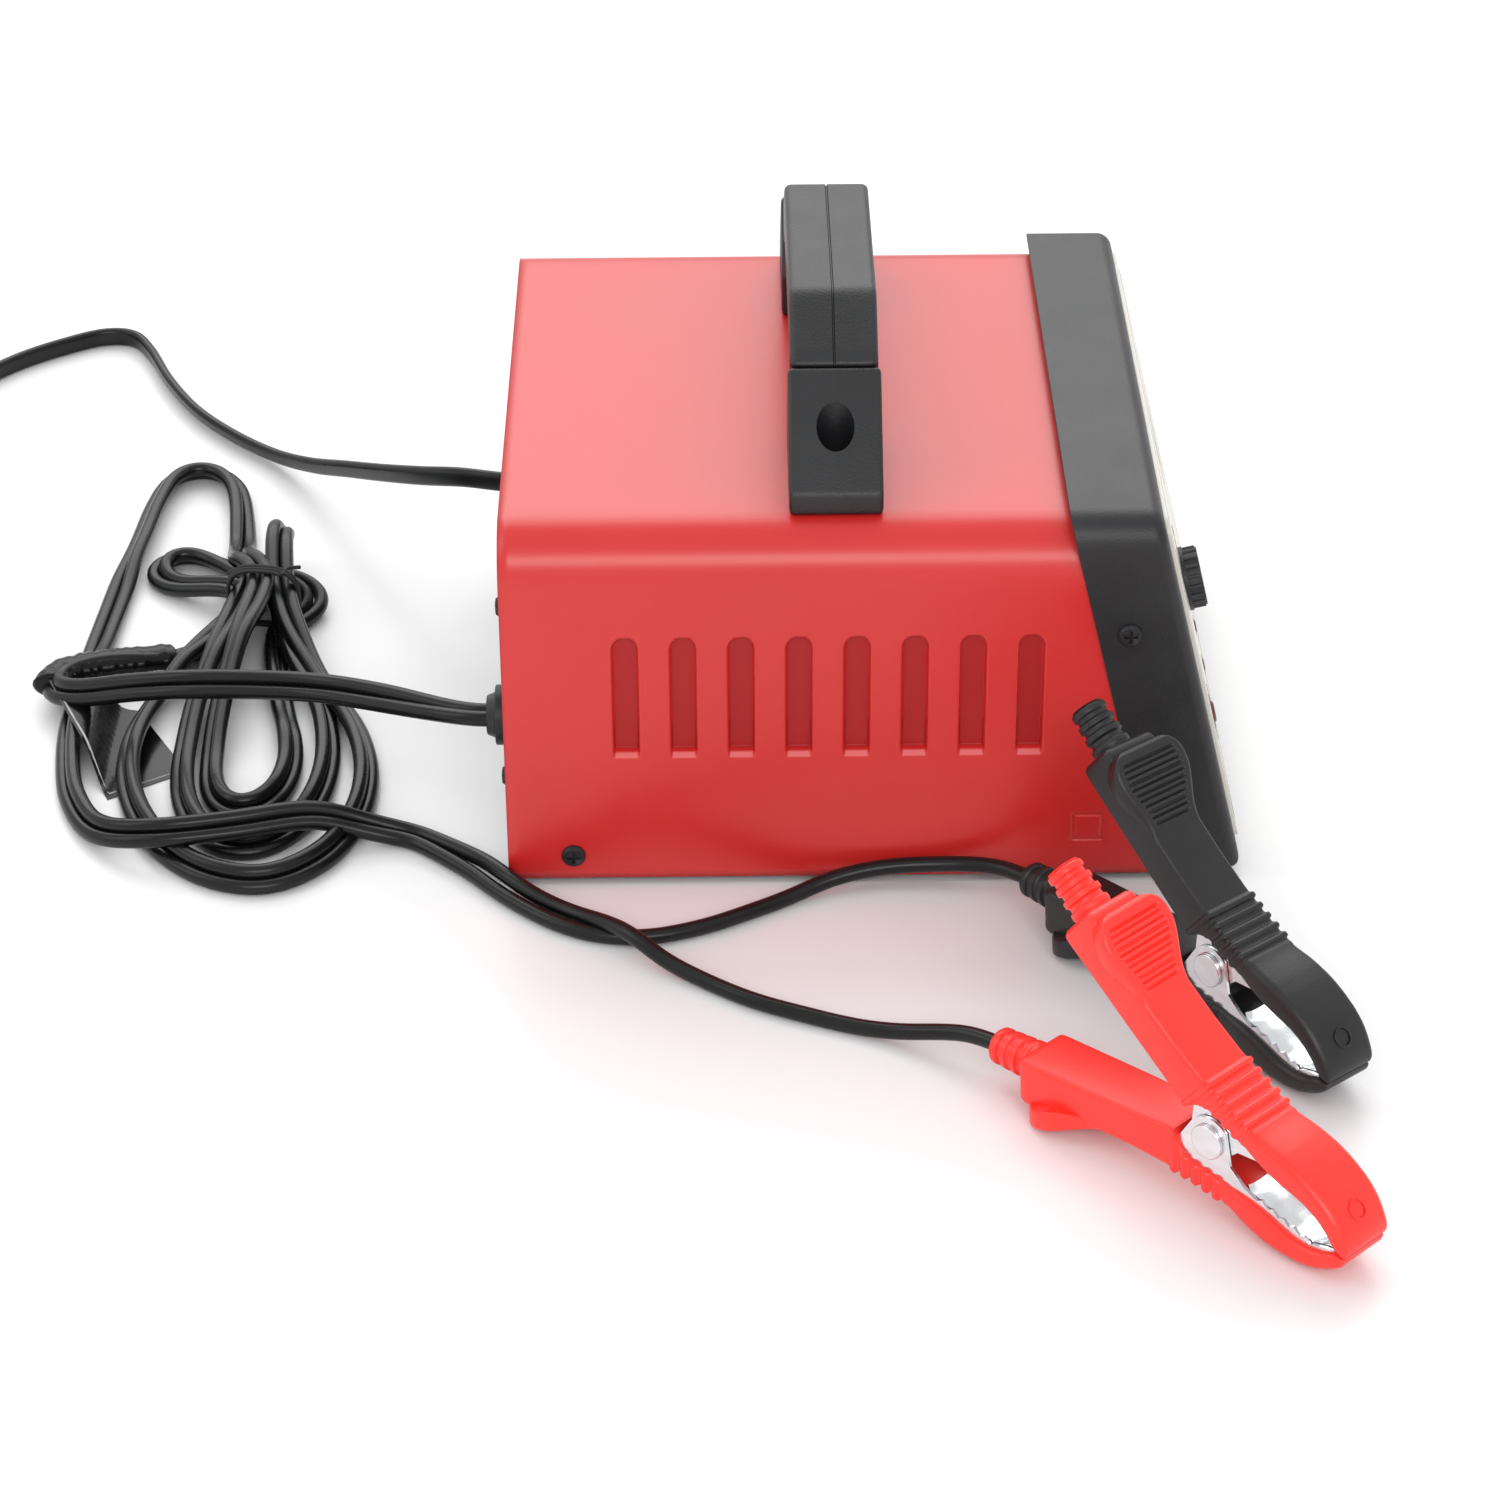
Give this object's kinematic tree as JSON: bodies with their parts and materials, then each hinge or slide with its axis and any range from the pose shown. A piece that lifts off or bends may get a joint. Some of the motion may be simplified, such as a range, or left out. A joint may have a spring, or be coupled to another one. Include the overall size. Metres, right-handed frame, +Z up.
{
  "type": "car battery charger",
  "caption": "Bench battery charger in a louvred red steel case with a leaning black front bezel, a carry handle, two battery clamps on a twin lead and a mains cord with plug.",
  "frame": {"origin": "centre of the case's footprint, on the floor under the rubber feet", "axes": "+X towards the control panel, +Y away from the side where the clamp lead leaves, +Z up"},
  "size_m": [0.6466, 0.6517, 0.186],
  "materials": {
    "red_paint": "satin",
    "black_steel": "satin",
    "black_plastic": "matte",
    "cream_plate": "satin",
    "meter_plastic": "gloss",
    "dial_card": "matte",
    "needle_red": "satin",
    "meter_lens": "gloss",
    "knob_plastic": "satin",
    "steel": "brushed",
    "led_red": "gloss",
    "button_red": "gloss",
    "core_steel": "satin",
    "bobbin_plastic": "matte",
    "copper": "satin",
    "heat_sink_aluminium": "satin",
    "board_green": "satin",
    "board_black": "satin",
    "rubber": "matte",
    "black_screw": "gloss",
    "cord_black": "satin",
    "tag_black": "satin",
    "red_grip": "satin",
    "black_grip": "satin",
    "bright_steel": "polished",
    "spring_steel": "satin",
    "blade_brass": "polished"
  },
  "bodies": {
    "charger": {"cover": "red_paint", "base_tray": "black_steel", "rear_panel": "black_steel", "front_bezel": "black_plastic", "face_plate": "cream_plate", "ammeter_case": "meter_plastic", "ammeter_dial": "dial_card", "ammeter_lens": "meter_lens", "selector_switch": "black_plastic", "indicator_leds": "led_red", "breaker_body": "black_plastic", "handle_foot_near": "black_plastic", "handle_foot_far": "black_plastic", "handle_grip_front": "black_plastic", "handle_grip_rear": "black_plastic", "handle_screws": "steel", "transformer_core": "core_steel", "transformer_bobbin": "bobbin_plastic", "primary_winding": "copper", "secondary_winding": "copper", "transformer_frame": "steel", "transformer_bolts": "steel", "heat_sink": "heat_sink_aluminium", "rectifier_diodes": "steel", "circuit_board": "board_green", "board_parts": "board_black", "board_posts": "steel", "rubber_feet": "rubber", "case_screws": "black_screw", "dc_bushing": "rubber", "ac_bushing": "rubber", "dc_cord_start": "cord_black", "dc_cord_hank": "cord_black", "dc_cord_run": "cord_black", "dc_cord_tie": "cord_black", "cord_tag": "tag_black", "red_lead": "cord_black", "black_lead": "cord_black", "red_lower_grip": "red_grip", "red_lower_jaw": "bright_steel", "red_rivet": "bright_steel", "red_spring": "spring_steel", "black_lower_grip": "black_grip", "black_lower_jaw": "bright_steel", "black_rivet": "bright_steel", "black_spring": "spring_steel", "ac_cord": "cord_black", "ac_coil": "cord_black", "ac_coil_tie": "cord_black", "ac_plug": "cord_black", "plug_blades": "blade_brass"},
    "needle": {"ammeter_needle": "needle_red"},
    "selector": {"selector_knob": "knob_plastic", "selector_shaft": "steel"},
    "reset_button": {"breaker_button": "button_red"},
    "red_clamp_top": {"red_upper_grip": "red_grip", "red_upper_jaw": "bright_steel"},
    "black_clamp_top": {"black_upper_grip": "black_grip", "black_upper_jaw": "bright_steel"}
  },
  "joints": [
    {"name": "needle_swing", "type": "hinge", "parent": "charger", "child": "needle", "pos_m": [0.10578, 0.032, 0.0699], "axis": [-0.9724, 0, -0.2334], "range_deg": [0, 96], "stiffness_Nm_per_rad": 0.00002, "springref_deg": -2.86},
    {"name": "selector_turn", "type": "hinge", "parent": "charger", "child": "selector", "pos_m": [0.10831, -0.053, 0.08079], "axis": [0.9724, 0, 0.2334], "range_deg": [-60, 60]},
    {"name": "reset_press", "type": "slide", "parent": "charger", "child": "reset_button", "axis": [-0.9724, 0, -0.2334], "range_m": [0, 0.003], "stiffness_N_per_m": 400, "springref_m": -0.001},
    {"name": "red_clamp_open", "type": "hinge", "parent": "charger", "child": "red_clamp_top", "pos_m": [0.102, -0.295, 0.0271], "axis": [-0.7133, -0.7009, 0], "range_deg": [0, 36], "stiffness_Nm_per_rad": 1.5, "springref_deg": -28.65},
    {"name": "black_clamp_open", "type": "hinge", "parent": "charger", "child": "black_clamp_top", "pos_m": [0.112, -0.2045, 0.0271], "axis": [-0.7716, -0.6361, 0], "range_deg": [0, 36], "stiffness_Nm_per_rad": 1.5, "springref_deg": -28.65}
  ]
}
